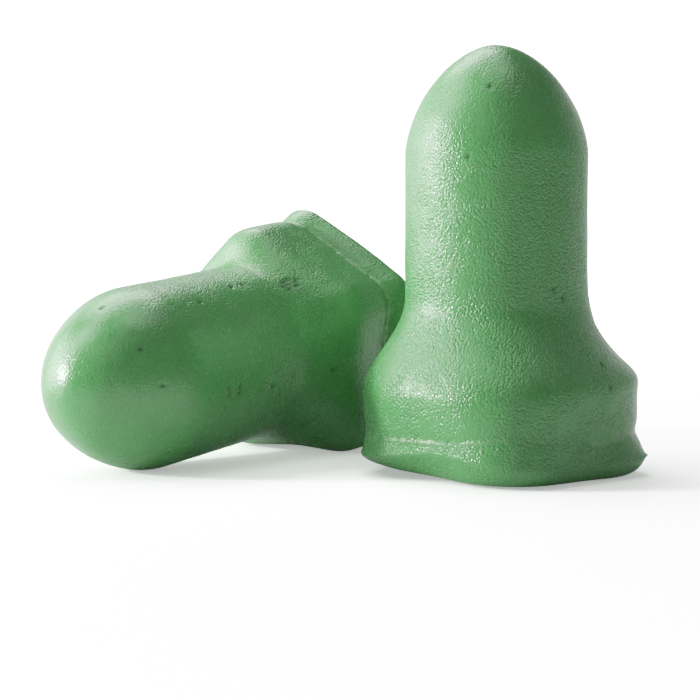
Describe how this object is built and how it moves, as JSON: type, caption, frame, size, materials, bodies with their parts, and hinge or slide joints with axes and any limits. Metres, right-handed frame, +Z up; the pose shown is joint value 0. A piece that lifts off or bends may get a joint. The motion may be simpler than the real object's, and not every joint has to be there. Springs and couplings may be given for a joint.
{
  "type": "foam ear plugs",
  "caption": "Pair of soft foam ear plugs, each with a rounded nose, a straight round stem and a flared many-sided grip flange.",
  "frame": {"origin": "middle of the standing plug's base, on the table", "axes": "+Z up the standing plug's axis, from its base to its nose; -Y towards the side that the pair is seen from"},
  "size_m": [0.0355, 0.0296, 0.0255],
  "materials": {
    "plug_foam": "matte, fine moulded foam skin"
  },
  "bodies": {
    "standing_plug": {"standing_plug": "plug_foam"},
    "lying_plug": {"lying_plug": "plug_foam"}
  },
  "joints": [
    {"name": "lying_plug_lift", "type": "slide", "parent": "standing_plug", "child": "lying_plug", "axis": [0, 0, 1], "range_m": [0, 0.05]}
  ]
}
